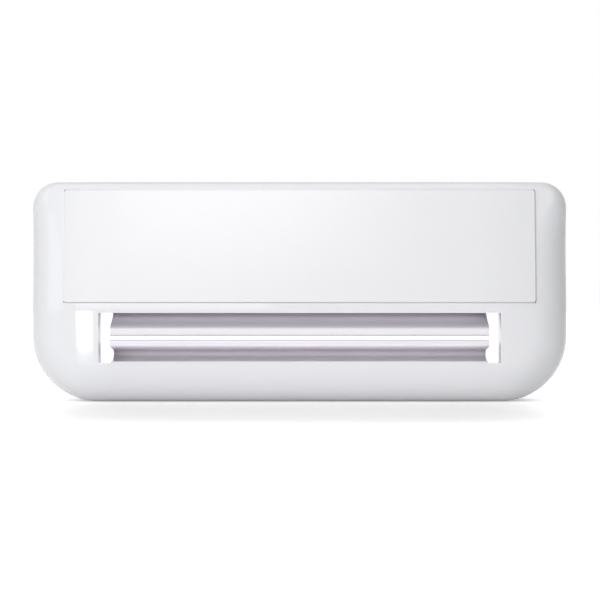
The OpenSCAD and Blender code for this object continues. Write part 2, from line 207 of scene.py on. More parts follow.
def rod(name, centre, radius, length, along="Y", sides=40):
    """A cylinder round a centre."""
    turn = {"X": (0, math.pi / 2, 0), "Y": (math.pi / 2, 0, 0)}[along]
    select_none()
    bpy.ops.mesh.primitive_cylinder_add(
        vertices=sides, radius=radius * MM, depth=length * MM,
        location=Vector(centre) * MM, rotation=turn,
    )
    piece = named(name)
    settle(piece)
    return piece


def combine(piece, others, operation):
    """Adds the other pieces to the piece, or cuts them out of it, and removes them."""
    for other in others:
        modify(piece, "BOOLEAN", operation=operation, object=other, solver="EXACT")
        bpy.data.objects.remove(other)


# %% Rounded edges
def weigh_edges(piece, radius_of, segments=14):
    """Rounds each edge by radius_of(middle, direction)."""
    mesh = piece.data
    weight = mesh.attributes.new("bevel_weight_edge", "FLOAT", "EDGE")
    radii = []
    for edge in mesh.edges:
        a, b = (mesh.vertices[i].co for i in edge.vertices)
        radii.append(radius_of((a + b) / 2 / MM, (b - a).normalized()))
    widest = max(radii)
    weight.data.foreach_set("value", [r / widest for r in radii])
    modify(
        piece, "BEVEL", limit_method="WEIGHT", width=widest * MM, segments=segments,
        use_clamp_overlap=False,
    )
    piece.data.attributes.remove(piece.data.attributes["bevel_weight_edge"])


def soften(piece, width, segments=2, angle=50):
    """Rounds all edges sharper than the angle."""
    modify(
        piece, "BEVEL", limit_method="ANGLE", angle_limit=math.radians(angle), width=width * MM,
        segments=segments, use_clamp_overlap=True, miter_outer="MITER_ARC",
    )


def polish(piece, angle=35):
    """Smooth shading up to the angle, with large faces kept flat."""
    only(piece)
    bpy.ops.object.shade_smooth_by_angle(angle=math.radians(angle))
    modify(piece, "WEIGHTED_NORMAL", keep_sharp=True, weight=80)
    report(piece)


# %% [markdown]
# ## Finishes
# Every finish is made from nodes. Sums on sockets are written as plain Python: a small class wraps
# a socket, and each operator adds its Math node. One method adds any other node, from its type, its
# settings and its sockets. Values that vary over the surface feed the Principled shader, and
# constants are set on its own sockets.

# %% Sums on sockets
class Value:
    """A socket of a node tree that can be added, multiplied and so on."""

    def __init__(self, nodes, socket):
        self.nodes, self.socket = nodes, socket

    def _sum(self, operation, other):
        return self.nodes.add("ShaderNodeMath", {"operation": operation}, {0: self, 1: other})

    def __add__(self, other):
        return self._sum("ADD", other)

    def __mul__(self, other):
        return self._sum("MULTIPLY", other)

    __radd__, __rmul__ = __add__, __mul__

    def __sub__(self, other):
        return self._sum("SUBTRACT", other)

    def __pow__(self, other):
        return self._sum("POWER", other)


class Nodes:
    """A node tree with one method that adds any node."""

    def __init__(self, tree):
        self.tree = tree

    def add(self, kind, settings=None, sockets=None, out=0):
        """Adds a node. Its sockets go by name or number, and a finished value may feed them."""
        node = self.tree.nodes.new(kind)
        for key, value in (settings or {}).items():
            setattr(node, key, value)
        for key, value in (sockets or {}).items():
            self.feed(node.inputs[key], value)
        return Value(self, node.outputs[out]) if node.outputs else None

    def feed(self, socket, value):
        if isinstance(value, Value):
            self.tree.links.new(value.socket, socket)
        else:
            socket.default_value = value


# %% A finish and its patterns
class Finish(Nodes):
    """A material with its Principled shader and the patterns that all finishes share."""

    def __init__(self, name, constants):
        self.material = bpy.data.materials.new(name)
        self.material.use_nodes = True
        super().__init__(self.material.node_tree)
        self.shader = self.tree.nodes["Principled BSDF"]
        self.place = self.add("ShaderNodeTexCoord", out="Object")
        self.drive(constants)

    def drive(self, sockets):
        """Sets these sockets of the shader, or lets them vary over the surface."""
        for key, value in sockets.items():
            self.feed(self.shader.inputs[key], value)

    def noise(self, scale, detail, stretch=None):
        """Soft spots. The scale is in spots per metre, and a stretch draws them out."""
        place = self.place
        if stretch:
            place = self.add("ShaderNodeMapping", sockets={"Vector": place, "Scale": stretch})
        return self.add(
            "ShaderNodeTexNoise", sockets={"Vector": place, "Scale": scale, "Detail": detail}
        )

    def blend(self, factor, first, second):
        """Goes from one colour to another with the factor."""
        colours = {0: factor, 6: (*first, 1), 7: (*second, 1)}
        return self.add("ShaderNodeMix", {"data_type": "RGBA"}, colours, 2)

    def bump(self, height, strength, depth):
        return self.add(
            "ShaderNodeBump", sockets={"Height": height, "Strength": strength, "Distance": depth * MM}
        )


# %% [markdown]
# ## White plastics
# The case, the plate and the lips are three mouldings of nearly the same white. The case is the
# glossiest. The plate is smooth with a softer shine, the lips lean to violet in their shade, and
# the frame inside has the plain grain of an eroded mould.

# %% White plastics
CLOUDS, SCUFFS, RIPPLES, GRAINS = 45, 700, 900, 5200
SCUFF_STRETCH = (1, 1, 0.3)


def white_plastic(name, colour, shade, gloss, texture):
    """Moulded plastic: cloudy in colour by a hair, rippled by the mould, dulled by the hand."""
    finish = Finish(name, {"IOR": 1.5})
    clouds = finish.noise(CLOUDS, 3)
    scuffs = finish.noise(SCUFFS, 4, SCUFF_STRETCH)
    relief = finish.noise(RIPPLES, 2) * 0.7 + finish.noise(GRAINS, 2) * texture
    finish.drive({
        "Base Color": finish.blend(clouds, shade, colour),
        "Roughness": gloss * (0.8 + 0.35 * clouds + 0.3 * scuffs),
        "Normal": finish.bump(relief, 0.35, 0.004),
    })
    return finish.material


gloss_white = white_plastic("gloss_white", (0.845, 0.845, 0.865), (0.82, 0.823, 0.845), 0.05, 0.1)
plate_white = white_plastic("plate_white", (0.84, 0.84, 0.855), (0.815, 0.815, 0.835), 0.20, 0.25)
lip_white = white_plastic("lip_white", (0.89, 0.87, 0.90), (0.87, 0.845, 0.885), 0.17, 0.05)
frame_white = white_plastic("frame_white", (0.80, 0.80, 0.82), (0.76, 0.765, 0.79), 0.42, 1.2)
print(len(bpy.data.materials), "finishes")

# %% [markdown]
# ## Steels
# The hinge pins are drawn wire, so their fine lines run along them. The springs are bright wire,
# and the screws have the slightly cloudy grey of zinc.

# %% Steels
SPOTS = 260
DRAWN_OUT, EVEN = (0.04, 1, 1), (1, 1, 1)


def steel(name, light, dark, gloss, stretch, scale):
    """Bare metal with drawn lines or cloudy spots in its colour, roughness and surface."""
    finish = Finish(name, {"Metallic": 1.0})
    lines = finish.noise(scale, 3, stretch)
    spots = finish.noise(SPOTS, 3)
    finish.drive({
        "Base Color": finish.blend(lines * 0.6 + spots * 0.4, dark, light),
        "Roughness": gloss + 0.16 * lines + 0.06 * spots,
        "Normal": finish.bump(lines, 0.3, 0.006),
    })
    return finish.material


pin_steel = steel("pin_steel", (0.68, 0.68, 0.70), (0.46, 0.46, 0.48), 0.16, DRAWN_OUT, 5200)
wire_steel = steel("wire_steel", (0.62, 0.62, 0.65), (0.42, 0.42, 0.45), 0.20, EVEN, 2600)
zinc = steel("zinc", (0.66, 0.67, 0.70), (0.48, 0.49, 0.53), 0.26, EVEN, 1400)
print(len(bpy.data.materials), "finishes")


# %% Finished pieces
def assemble(piece, body, slot, material, *nodes):
    """Gives a finished piece its finish and says what it rides on and stands for."""
    piece.data.materials.clear()
    piece.data.materials.append(material)
    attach(piece, body)
    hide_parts(*nodes)


# %% [markdown]
# ## Sizes of the case
# The case's box and the widths of plate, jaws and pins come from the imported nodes. The radii, and
# the places within the front, are those of the real moulding.

# %% Sizes of the case
def box_of(node):
    """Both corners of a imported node's box."""
    return [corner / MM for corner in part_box(node)]


front_high = box_of("front_cover")[1]
rear_high = box_of("rear_cover")[1]
jaw_high = box_of("upper_jaw")[1]
HALF_W, PARTING_Y, TOP_Z = front_high
DEPTH, WALL = 24, 2.0
REAR_Y = rear_high.y
FRONT_Y = REAR_Y - DEPTH
PLATE_X = box_of("imprint_plate")[1].x
TOP_CORNER_R, BOTTOM_CORNER_R = 4.5, 11.2
SIDE_R, BOTTOM_R, TOP_R, REAR_R = 6.2, 6.5, 1.4, 2.4
CROWN_X, CROWN_R, CROWN_END = 30.0, 60.0, 40.0
CREASE_Z, LEAN = 15.5, math.tan(math.radians(7))
WINDOW_X, SILL_Z, WINDOW_TOP = 34.0, 6.7, 15.2
PLATE_LOW, PLATE_TOP = 16.99, 36.24
NIP_Z = (SILL_Z + WINDOW_TOP) / 2
JAW_X = jaw_high.x
PIVOT_RISE, HEEL_REACH = 6.4, 4.9
PIVOT_Y = jaw_high.y - HEEL_REACH
print("front plane", FRONT_Y, "parting", PARTING_Y, "top", TOP_Z, "plate", PLATE_X)

# %% [markdown]
# ## Form of the front
# The front is flat in the middle, slightly round towards its ends, and it leans back by seven
# degrees above the crease. Both the cover and the plate follow it, so it is one function that
# says how far back each place lies. The side walls take less and less of it towards the rear.

# %% Form of the front
CROWN_CUT_GAP = 1.3
CROWN_CUTS = [CROWN_X + step * CROWN_CUT_GAP for step in range(8)]


def set_back(x, z):
    """How far the front lies behind its foremost plane."""
    out = abs(x) - CROWN_X
    reach = CROWN_END - CROWN_X
    slope = reach / CROWN_R
    if out <= 0:
        crown = 0
    elif out <= reach:
        crown = out * out / (2 * CROWN_R)
    else:
        fade = HALF_W - CROWN_END
        over = min(out - reach, fade)
        crown = reach * slope / 2 + slope * (over - over * over / (2 * fade))
    return crown + max(0, z - CREASE_Z) * LEAN


def follow_front(piece, full_y, none_y):
    """Sets the piece back with the front: wholly up to full_y, and not at all behind none_y."""
    for vertex in piece.data.vertices:
        x, y, z = vertex.co / MM
        share = min(1, max(0, (none_y - y) / (none_y - full_y)))
        vertex.co.y += set_back(x, z) * share * MM
    piece.data.update()


def cut_for_crown(piece, end_x):
    """Gives the piece the edge loops that it needs to bend with the crown."""
    for x in CROWN_CUTS:
        if x < end_x:
            for side in (-1, 1):
                cut(piece, (1, 0, 0), side * x)


print("the crown lies", round(set_back(HALF_W, 0), 2), "mm back at its ends")

# %% [markdown]
# ## Rounded case
# The case's form is a block with rounded corners. The rounding of its front rim is wide along the
# bottom and the sides and narrow along the top, and a bevel can't change its width round a corner.
# So the front face is extruded ring by ring, and each ring is laid on the arc that its place asks
# for.

# %% Roundings of the case
NARROWS_Z = 21.0
SIDE_FROM_X, SIDE_OVER = 34, 10
LEAST_R = 0.3


def corner_r(z, inset):
    """Rounding of the outline's corners at this height."""
    return (BOTTOM_CORNER_R if z < TOP_Z / 2 else TOP_CORNER_R) - inset


def corner_radius(inset):
    """Rounding of those edges that run from front to rear."""
    return lambda middle, direction: corner_r(middle.z, inset) if abs(direction.y) > 0.9 else 0


def rim_radius(x, z, inset):
    """Rounding of the front's rim at a place on the outline."""
    side_share = min(1, max(0, (abs(x) - SIDE_FROM_X) / SIDE_OVER))
    low = BOTTOM_R + (SIDE_R - BOTTOM_R) * side_share
    rise = min(1, max(0, (z - NARROWS_Z) / (TOP_Z - inset - NARROWS_Z)))
    return max(LEAST_R, low + (TOP_R - low) * rise ** 3 - inset)


def inward(x, z, inset):
    """Direction from a place on the outline straight into the face."""
    radius = corner_r(z, inset)
    out_x = max(0, abs(x) - (HALF_W - inset - radius))
    if z < TOP_Z / 2:
        out_z = min(0, z - (inset + radius))
    else:
        out_z = max(0, z - (TOP_Z - inset - radius))
    return Vector((-math.copysign(out_x, x), 0, -out_z)).normalized()


# %% Front form
RIM_STEPS, RIM_CUT_GAP = 12, 2.2
RIM_CUTS = [NARROWS_Z + RIM_CUT_GAP * step for step in range(6)]
CREASE_CUTS = (CREASE_Z - 0.5, CREASE_Z, CREASE_Z + 0.5)
SIDES_FROM_Y = -5.8


def round_rim(piece, inset):
    """Extrudes the one front face in rings that follow a quarter round of varying radius."""
    face_y = FRONT_Y + inset
    pick_faces(piece, faces_front)
    bpy.ops.mesh.dissolve_faces()
    done()
    face = next(f for f in piece.data.polygons if faces_front(f.normal))
    outline, radii = [], []
    for i in face.vertices:
        vertex = piece.data.vertices[i]
        place = vertex.co / MM
        radii.append(rim_radius(place.x, place.z, inset))
        place.y = face_y + radii[-1]
        vertex.co.y = (face_y + radii[-1]) * MM
        outline.append(place)
    ring = outline
    for step in range(1, RIM_STEPS + 1):
        angle = math.pi / 2 * step / RIM_STEPS
        bpy.ops.object.mode_set(mode="EDIT")
        extrude()
        done()
        face = next(f for f in piece.data.polygons if f.select)
        laid = list(ring)
        for i in face.vertices:
            vertex = piece.data.vertices[i]
            here = vertex.co / MM
            k = min(range(len(ring)), key=lambda j: (ring[j] - here).length_squared)
            start, r = outline[k], radii[k]
            place = start + inward(start.x, start.z, inset) * r * (1 - math.cos(angle))
            place.y = face_y + r * (1 - math.sin(angle))
            vertex.co = place * MM
            laid[k] = place
        ring = laid
    piece.data.update()


def front_form(name, inset, rear):
    """The whole rounded form of the front, lying the inset inside the case."""
    low = (inset - HALF_W, FRONT_Y + inset, inset)
    piece = block(name, low, (HALF_W - inset, rear, TOP_Z - inset))
    weigh_edges(piece, corner_radius(inset))
    for z in RIM_CUTS:
        cut(piece, (0, 0, 1), z)
    round_rim(piece, inset)
    cut_for_crown(piece, HALF_W - SIDE_R)
    for z in CREASE_CUTS:
        cut(piece, (0, 0, 1), z)
    follow_front(piece, SIDES_FROM_Y, PARTING_Y)
    report(piece)
    return piece


# %% [markdown]
# ## Front cover
# On the real object this is one injection-moulded shell. The same form, smaller by the wall on all
# sides, is cut out of the front form, which leaves a wall of even thickness.
# Four bosses take the screws, and each has to end in the curved wall. Its front ring is pressed
# onto the wall by casting a ray from each of its points. Two ribs brace the sides, and two low ones
# behind the window's ends deepen its edges there.

# %% Front cover: wall, bosses and ribs
SCREW_X, SCREW_LOW_Z, SCREW_HIGH_Z = 40.8, 9.0, TOP_Z - 6.6
SCREWS = {
    "lower_left": (-SCREW_X, SCREW_LOW_Z), "lower_right": (SCREW_X, SCREW_LOW_Z),
    "upper_left": (-SCREW_X, SCREW_HIGH_Z), "upper_right": (SCREW_X, SCREW_HIGH_Z),
}
FLANGE_FRONT_Y, FLANGE_REAR_Y = PARTING_Y - 1, PARTING_Y + 1
BOSS_R, BOSS_START, BOSS_SINK, POST_GAP = 2.4, -5.0, 0.6, 0.05
RIB_IN, RIB_OUT, RIB_Y, RIB_HALF_H = 39.2, 44.6, -1.9, 1.4
REVEAL_IN, REVEAL_OUT = WINDOW_X - 0.4, WINDOW_X + 1.1
REVEAL_FRONT, REVEAL_REAR, REVEAL_PAST = FRONT_Y + 1.2, FRONT_Y + 4.4, 0.9


def press_on_wall(boss, shell):
    """Moves the front ring of a boss to just inside the wall in front of it."""
    for vertex in boss.data.vertices:
        if vertex.co.y < 0:
            start = Vector((vertex.co.x, 4 * MM, vertex.co.z))
            hit, place, *_ = shell.ray_cast(start, Vector((0, -1, 0)))
            if hit:
                vertex.co.y = place.y - BOSS_SINK * MM


def on_side(side, name, inner, outer, y0, y1, z0, z1):
    """A block that spans from inner to outer on the left (-1) or the right (1)."""
    x0, x1 = sorted((side * inner, side * outer))
    return block(name, (x0, y0, z0), (x1, y1, z1))


cover = front_form("front_shell", 0, PARTING_Y)
combine(cover, [front_form("hollow", WALL, PARTING_Y + 1)], "DIFFERENCE")
bosses = []
for x, z in SCREWS.values():
    end = FLANGE_FRONT_Y if z < NIP_Z else PARTING_Y - POST_GAP
    boss = rod("boss", (x, (end + BOSS_START) / 2, z), BOSS_R, end - BOSS_START)
    press_on_wall(boss, cover)
    bosses.append(boss)
for side in (-1, 1):
    pivot_z = NIP_Z + PIVOT_RISE
    bosses += [
        on_side(side, "rib", RIB_IN, RIB_OUT, RIB_Y, FLANGE_FRONT_Y,
                pivot_z - RIB_HALF_H, pivot_z + RIB_HALF_H),
        on_side(side, "reveal", REVEAL_IN, REVEAL_OUT, REVEAL_FRONT, REVEAL_REAR,
                SILL_Z - REVEAL_PAST, WINDOW_TOP + REVEAL_PAST),
    ]
combine(cover, bosses, "UNION")
report(cover)

# %% [markdown]
# ## Window, holes and pocket
# The window flares a little towards its ends, and its cutter is a block whose front face is drawn
# out and widened. Then the holes for the screws and for the plate's pegs are drilled, and all edges
# are softened. The pocket comes last, because its edge stays crisp against the plate.

# %% Window, holes and pocket
WINDOW_FLARE = 0.45
THROUGH_Y = FRONT_Y + 6
HEAD_Y = 10.2
PILOT_R, PILOT_L, PILOT_Y = 1.13, 9, HEAD_Y - 4.6
PEG_IN_X, PEG_IN_Z = 9, 3.57
PEG_X = PLATE_X - PEG_IN_X
PEG_Z = (PLATE_LOW + PEG_IN_Z, PLATE_TOP - PEG_IN_Z)
PEG_HOLE_R, PEG_HOLE_L, PEG_HOLE_Y = 1.08, 6, FRONT_Y + 1
PLATE_GAP, POCKET_Y = 0.03, FRONT_Y + 0.7


def flare(x, z):
    """Widens the picked faces about the middle of the nip."""
    bpy.ops.transform.resize(value=(x, 1, z), center_override=(0, 0, NIP_Z * MM))


window = block("window", (-WINDOW_X, FRONT_Y + WALL, SILL_Z), (WINDOW_X, THROUGH_Y, WINDOW_TOP))
pick_faces(window, faces_front)
extrude((0, -2 * WALL, 0))
flare(1 + WINDOW_FLARE / WINDOW_X, 1)
done()
combine(cover, [window], "DIFFERENCE")

drills = [rod("drill", (x, PILOT_Y, z), PILOT_R, PILOT_L) for x, z in SCREWS.values()]
for side in (-1, 1):
    for z in PEG_Z:
        drill = rod("drill", (side * PEG_X, PEG_HOLE_Y, z), PEG_HOLE_R, PEG_HOLE_L)
        follow_front(drill, 0, 1)
        drills.append(drill)
combine(cover, drills, "DIFFERENCE")
soften(cover, 0.16, 3)

low = (-PLATE_X - PLATE_GAP, FRONT_Y - 3, PLATE_LOW - PLATE_GAP)
pocket = block("pocket", low, (PLATE_X + PLATE_GAP, POCKET_Y, PLATE_TOP + PLATE_GAP))
cut_for_crown(pocket, PLATE_X)
follow_front(pocket, 0, 1)
combine(cover, [pocket], "DIFFERENCE")
polish(cover)
assemble(cover, "squeezer_body", "shell", gloss_white, "front_cover")

# %% [markdown]
# ## Imprint plate
# A flat plate lies in a shallow pocket and stands half a millimetre proud. It is a block with
# small round edges, cut across so that it can bend, with four pegs on its back. Then it follows
# the front as the cover does. Its face is left bare and smooth.

# %% Imprint plate
PLATE_PROUD, PLATE_DEEP = 0.55, 0.62
PLATE_CORNER_R, FACE_EDGE_R, BACK_EDGE_R = 0.5, 0.15, 0.1
PEG_R, PEG_L, PEG_Y = 1.0, 2.7, FRONT_Y + 1.6


def plate_edge(middle, direction):
    if abs(direction.y) > 0.9:
        return PLATE_CORNER_R
    return FACE_EDGE_R if middle.y < FRONT_Y else BACK_EDGE_R


low = (-PLATE_X, FRONT_Y - PLATE_PROUD, PLATE_LOW)
plate = block("plate_face", low, (PLATE_X, FRONT_Y + PLATE_DEEP, PLATE_TOP))
weigh_edges(plate, plate_edge, 4)
pegs = [rod("peg", (side * PEG_X, PEG_Y, z), PEG_R, PEG_L) for side in (-1, 1) for z in PEG_Z]
for peg in pegs:
    soften(peg, 0.2)
combine(plate, pegs, "UNION")
cut_for_crown(plate, PLATE_X)
follow_front(plate, 0, 1)
polish(plate)
assemble(plate, "squeezer_body", "plate", plate_white, "imprint_plate")

# %% [markdown]
# ## Rear cover
# The rear shell is a second rounded block with the same outline. A duct joins it to the frame, and
# the mouth is cut through both: straight at the frame, then flared to guide the tube in. Each
# screw has a post with a wide hole for its head.

# %% Rear cover: shell, duct and posts
PASSAGE_X, PASSAGE_HALF_H, DUCT_WALL = WINDOW_X + 1.75, 5.5, 2.4
INNER_REAR_Y = REAR_Y - 1

rear = block("rear_shell", (-HALF_W, PARTING_Y, 0), (HALF_W, REAR_Y, TOP_Z))
weigh_edges(rear, corner_radius(0))
weigh_edges(rear, lambda middle, direction: REAR_R if middle.y > REAR_Y - 0.1 else 0, 8)
pick_faces(rear, faces_front)
bpy.ops.mesh.delete(type="FACE")
done()
modify(rear, "SOLIDIFY", thickness=WALL * MM, offset=-1, use_even_offset=True)

duct_x, duct_z = PASSAGE_X + DUCT_WALL, PASSAGE_HALF_H + DUCT_WALL
low = (-duct_x, FLANGE_REAR_Y, NIP_Z - duct_z)
posts = [block("duct", low, (duct_x, INNER_REAR_Y, NIP_Z + duct_z))]
for x, z in SCREWS.values():
    start = FLANGE_REAR_Y if z < NIP_Z else PARTING_Y + POST_GAP
    posts.append(rod("post", (x, (start + INNER_REAR_Y) / 2, z), BOSS_R, INNER_REAR_Y - start))
combine(rear, posts, "UNION")
report(rear)

# %% Rear cover: mouth and screw holes
MOUTH_FLARE = 1.2
SCREW_HOLE_R, SCREW_HOLE_L, SCREW_HOLE_Y = 1.25, 10, 10
HEAD_HOLE_R, HEAD_HOLE_L = 2.25, 3

low = (-PASSAGE_X, PARTING_Y - 1, NIP_Z - PASSAGE_HALF_H)
mouth = block("mouth", low, (PASSAGE_X, FLANGE_REAR_Y, NIP_Z + PASSAGE_HALF_H))
pick_faces(mouth, faces_rear)
extrude((0, REAR_Y - FLANGE_REAR_Y, 0))
flare(1 + MOUTH_FLARE / PASSAGE_X, 1 + MOUTH_FLARE / PASSAGE_HALF_H)
extrude((0, 1, 0))
done()
drills = [mouth]
for x, z in SCREWS.values():
    drills.append(rod("drill", (x, SCREW_HOLE_Y, z), SCREW_HOLE_R, SCREW_HOLE_L))
    drills.append(rod("drill", (x, HEAD_Y + HEAD_HOLE_L / 2, z), HEAD_HOLE_R, HEAD_HOLE_L))
combine(rear, drills, "DIFFERENCE")
soften(rear, 0.25, 3)
polish(rear)
assemble(rear, "squeezer_body", "shell", gloss_white, "rear_cover")

# %% [markdown]
# ## Two lips
# Each lip is one profile drawn out across the window. The profile is a ring of points that are put
# on smooth curves: a rounded nose, a hollow behind it, and a foot that meets the hinge barrel. A
# point says how far it lies back from the nose and how far away from the middle of the nip. The
# ring is filled and extruded, the barrel and the heels are joined on, and the pin's bore is drilled.

# %% Curves of the lips
def curve(a, b, c, d, steps=16):
    """Points from a to d, drawn towards b and c on the way."""
    a, b, c, d = map(Vector, (a, b, c, d))
    points = []
    for i in range(steps + 1):
        t = i / steps
        s = 1 - t
        points.append(s ** 3 * a + 3 * s * s * t * b + 3 * s * t * t * c + t ** 3 * d)
    return points


NIP = 0.3
APRON = WINDOW_TOP - NIP_Z - 0.17
nose = curve((1.35, NIP), (0.45, NIP), (0, NIP), (0, 0.84), 8)

upper_ring = nose + curve((0, 1.45), (0, 2.2), (5.936, 2.6), (9.6, 4.4))
upper_ring += [Vector((9.9, 5.4))]
upper_ring += curve((12.2, 4.7), (8.064, 1.6), (4.032, NIP), (1.8, NIP))

trough = curve((0, 1.05), (0, 1.75), (5.936, 1.9), (9.6, 2.3))
trough += curve((9.6, 2.3), (10.9, 2.45), (10.9, 3.3), (9.3, 3.5), 10)[1:]
trough += curve((9.3, 3.5), (6.944, 3.85), (5.04, APRON - 0.05), (2.9, APRON))[1:]
under_apron = [Vector(v) for v in ((2.9, APRON + 1), (8.5, APRON + 1), (10.2, 5.6), (12.5, 5.2))]
lower_ring = nose + trough + under_apron
lower_ring += curve((12.7, 4.4), (13, 2.6), (12.6, 1.5), (11.2, 1.35), 10)
lower_ring += curve((10.6, 1.28), (7.84, 0.9), (4.032, NIP), (1.8, NIP))
print(len(upper_ring), "and", len(lower_ring), "points")

# %% Lips
NOSE_Y = FRONT_Y + 0.5
BARREL_R, BORE_R, BORE_L = 2.1, 1.05, 100
HEEL_W, HEEL_HALF_H, HEEL_REAR_Y = 3.5, 0.75, FLANGE_FRONT_Y - 0.4
HOOK_R, HOOK_HOLE_R, HOOK_HOLE_L = 3.2, 0.4, 2.5


def lip(name, ring, up):
    """A lip above the nip (up = 1) or below it (up = -1)."""
    select_none()
    bpy.ops.mesh.primitive_circle_add(vertices=len(ring), radius=MM, fill_type="NGON")
    piece = named(name)
    for vertex, (back, away) in zip(piece.data.vertices, ring):
        vertex.co = Vector((-JAW_X, NOSE_Y + back, NIP_Z + up * away)) * MM
    pick_all(piece)
    extrude((2 * JAW_X, 0, 0))
    done()
    weld(piece)
    pivot_z = NIP_Z + up * PIVOT_RISE
    parts = [rod("barrel", (0, PIVOT_Y, pivot_z), BARREL_R, 2 * JAW_X, "X", 48)]
    drills = [rod("drill", (0, PIVOT_Y, pivot_z), BORE_R, BORE_L, "X")]
    for side in (-1, 1):
        parts.append(on_side(
            side, "heel", JAW_X - HEEL_W, JAW_X, PIVOT_Y, HEEL_REAR_Y,
            pivot_z - HEEL_HALF_H, pivot_z + HEEL_HALF_H,
        ))
        hole = (side * JAW_X, PIVOT_Y + HOOK_R, pivot_z)
        drills.append(rod("drill", hole, HOOK_HOLE_R, HOOK_HOLE_L, "X", 20))
    combine(piece, parts, "UNION")
    combine(piece, drills, "DIFFERENCE")
    soften(piece, 0.2, 3)
    polish(piece, 40)
    return piece


assemble(lip("upper_lip", upper_ring, 1), "upper_jaw", "jaw", lip_white, "upper_jaw")
assemble(lip("lower_lip", lower_ring, -1), "lower_jaw", "jaw", lip_white, "lower_jaw")

# %% [markdown]
# ## Frame and pins
# The frame is hidden but for its edges in the rear mouth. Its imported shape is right, so a copy is
# welded, its flat faces are joined, and its edges are rounded. The pins are rods with chamfered
# ends.

# %% Frame
carrier = link("pin_carrier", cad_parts["jaw_frame"].data.copy())
pick_all(carrier)
bpy.ops.mesh.remove_doubles(threshold=0.002 * MM)
bpy.ops.mesh.dissolve_limited(angle_limit=math.radians(1))
done()
soften(carrier, 0.15, 2)
polish(carrier)
assemble(carrier, "squeezer_body", "frame", frame_white, "jaw_frame")

# %% Pins
PIN_R, END_INSET, CHAMFER = 1.0, 0.3, 0.22
pin_low, pin_high = box_of("upper_hinge_pin")


def pin(name, up):
    place = (0, PIVOT_Y, NIP_Z + up * PIVOT_RISE)
    piece = rod(name, place, PIN_R, pin_high.x - pin_low.x, "X", 48)
    pick_faces(piece, faces_side)
    bpy.ops.mesh.inset(thickness=END_INSET * MM)
    done()
    soften(piece, CHAMFER, angle=60)
    polish(piece)
    return piece


assemble(pin("upper_pin", 1), "squeezer_body", "pin", pin_steel, "upper_hinge_pin")
assemble(pin("lower_pin", -1), "squeezer_body", "pin", pin_steel, "lower_hinge_pin")

# %% [markdown]
# ## Torsion springs
# Each spring is one wire: a leg in the frame, two close turns round the pin, and an arm that ends
# in a hook in the lip's heel. Its points are polar, seen along the pin. A curve with a round section
# draws it, and it is then made a mesh. On the real spring, its turns wind up as the lip swings.

# %% Route of a spring
WIRE_R, COIL_R, COIL_TURNS, COIL_STEPS = 0.25, 1.5, 2, 52
JAW_GAP, COIL_W = 0.4, 1.25
LEG_X = JAW_X + JAW_GAP + COIL_W
ARM_X = JAW_X + JAW_GAP + WIRE_R
LEG_ANGLE, LEG_RADII, LEG_BEND_R = 17, (5.9, 5.0, 4.1, 3.2), 2.6
BEND_ANGLE, BEND_STEPS, ARM_BEND = 39, 6, 0.8
HOOK = (
    (ARM_X, 2.8), (ARM_X - 0.05, 3.1), (ARM_X - 0.3, HOOK_R),
    (JAW_X - 0.5, HOOK_R), (JAW_X - 1.1, HOOK_R),
)


def ease(t):
    return t * t * (3 - 2 * t)


def wire_route():
    """Each point's x, its distance from the pin's axis and its angle round it."""
    bend = [i / BEND_STEPS for i in range(1, BEND_STEPS + 1)]
    route = [(LEG_X, r, LEG_ANGLE) for r in LEG_RADII]
    for t in bend:
        r = LEG_BEND_R - (LEG_BEND_R - COIL_R) * ease(t)
        route.append((LEG_X, r, LEG_ANGLE + BEND_ANGLE * t))
    start = LEG_ANGLE + BEND_ANGLE
    turning = 360 * COIL_TURNS - start - BEND_ANGLE
    for i in range(1, COIL_STEPS + 1):
        t = i / COIL_STEPS
        route.append((LEG_X + (ARM_X - LEG_X) * t, COIL_R, start + turning * t))
    route += [(ARM_X, COIL_R + ARM_BEND * ease(t), BEND_ANGLE * (t - 1)) for t in bend]
    return route + [(x, r, 0) for x, r in HOOK]


print(len(wire_route()), "points in each wire")

# %% Torsion springs
def spring(name, side, up):
    """A wire on the left (side = -1) or the right (1), above (up = 1) or below (-1) the nip."""
    route = wire_route()
    line = bpy.data.curves.new(name, "CURVE")
    line.dimensions = "3D"
    line.bevel_depth = WIRE_R * MM
    line.bevel_resolution = 3
    line.use_fill_caps = True
    spline = line.splines.new("POLY")
    spline.points.add(len(route) - 1)
    for target, (x, r, degrees) in zip(spline.points, route):
        angle = math.radians(degrees)
        y = PIVOT_Y + r * math.cos(angle)
        z = NIP_Z + up * (PIVOT_RISE + r * math.sin(angle))
        target.co = (side * x * MM, y * MM, z * MM, 1)
    piece = link(name, line)
    only(piece)
    bpy.ops.object.convert(target="MESH")
    weld(piece)
    bpy.ops.object.shade_smooth_by_angle(angle=math.radians(40))
    report(piece)
    return piece


for word, up in (("upper", 1), ("lower", -1)):
    for hand, side in (("left", -1), ("right", 1)):
        piece = spring(f"{word}_wire_{hand}", side, up)
        piece.data.materials.append(wire_steel)
        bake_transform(piece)
        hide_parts(f"{word}_spring_{hand}")

# %% [markdown]
# ## Screws
# A self-tapping screw has a domed head with a cross recess and a coarse thread. The shank is a
# grid that is rolled up, its ridge following the turn, so that the thread is one closed skin.
# One screw is made and copied to the four posts, each copy with its own mesh.

# %% Threaded shank
SHANK_L, TAPER_L = 9.2, 2.2
THREAD_R, CORE_R, PITCH = 1.1, 0.82, 0.95
TIP_SHARE, RIDGE_STEEPNESS = 0.25, 3
ROUND_STEPS, LONG_STEPS = 24, 100


